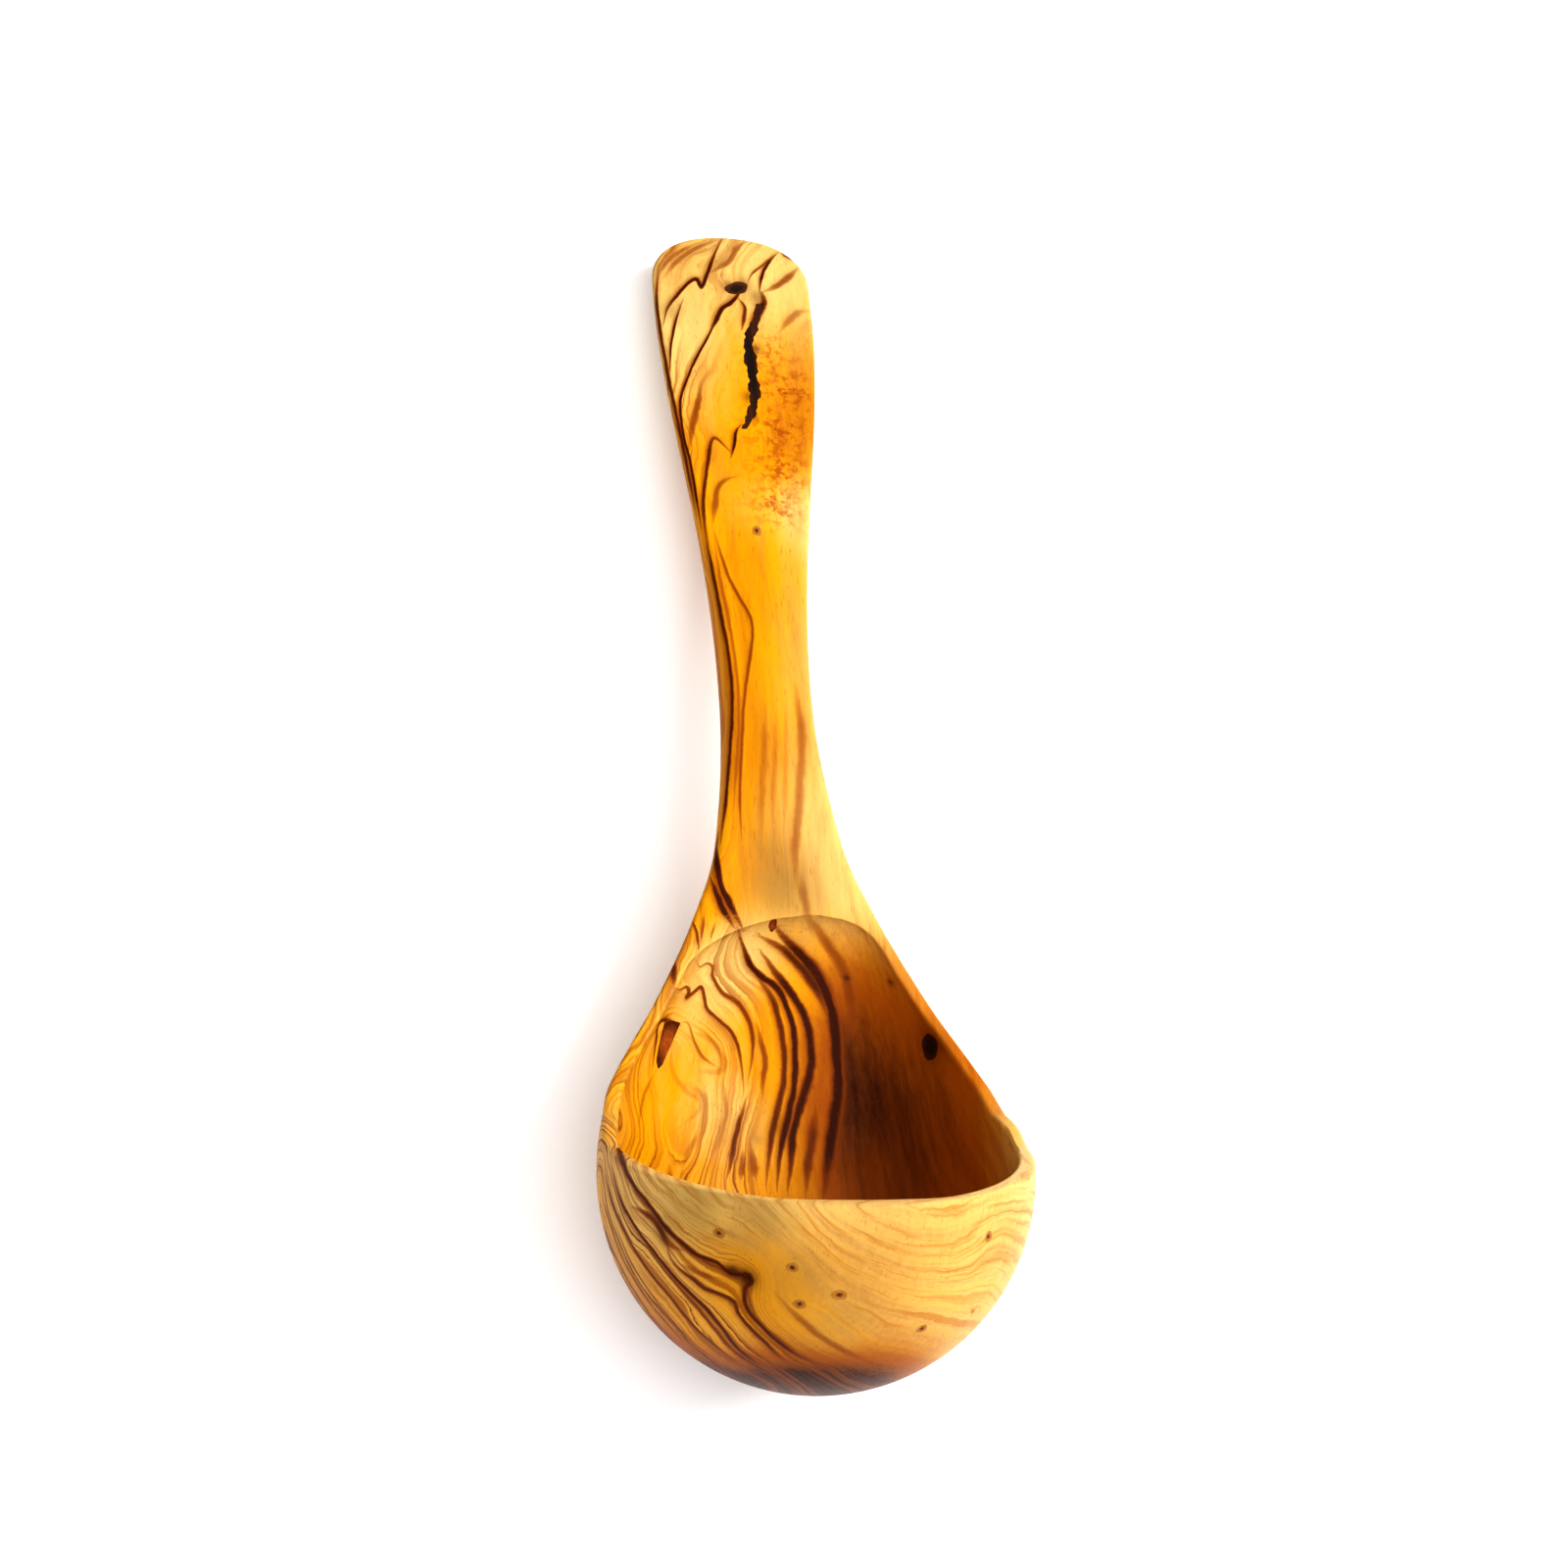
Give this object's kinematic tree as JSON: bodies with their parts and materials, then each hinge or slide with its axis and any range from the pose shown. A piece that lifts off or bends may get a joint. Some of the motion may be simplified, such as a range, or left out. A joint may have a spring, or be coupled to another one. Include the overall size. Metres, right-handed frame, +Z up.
{
  "type": "wooden ladle",
  "caption": "Carved wooden ladle lying on its back: a deep round bowl whose rim sweeps up into a slender handle that widens to a rounded tail.",
  "frame": {"origin": "centre of the small flat under the bowl where the ladle rests on the table", "axes": "+Z up from the table, +Y along the ladle from the bowl towards the tail of the handle, +X across the bowl"},
  "size_m": [0.087, 0.2682, 0.0826],
  "materials": {
    "olive_wood": "oiled satin",
    "knot_wood": "oiled satin",
    "bark": "dull, rough"
  },
  "bodies": {
    "root": {"ladle_body": "olive_wood", "bark_seam": "bark", "head_knot": "bark", "spike_knot": "knot_wood", "round_knot": "knot_wood", "rim_knot": "knot_wood", "pin_knot_1": "knot_wood", "pin_knot_2": "knot_wood", "pin_knot_3": "knot_wood", "pin_knot_4": "knot_wood", "pin_knot_5": "knot_wood", "pin_knot_6": "knot_wood", "pin_knot_7": "knot_wood"}
  },
  "joints": []
}
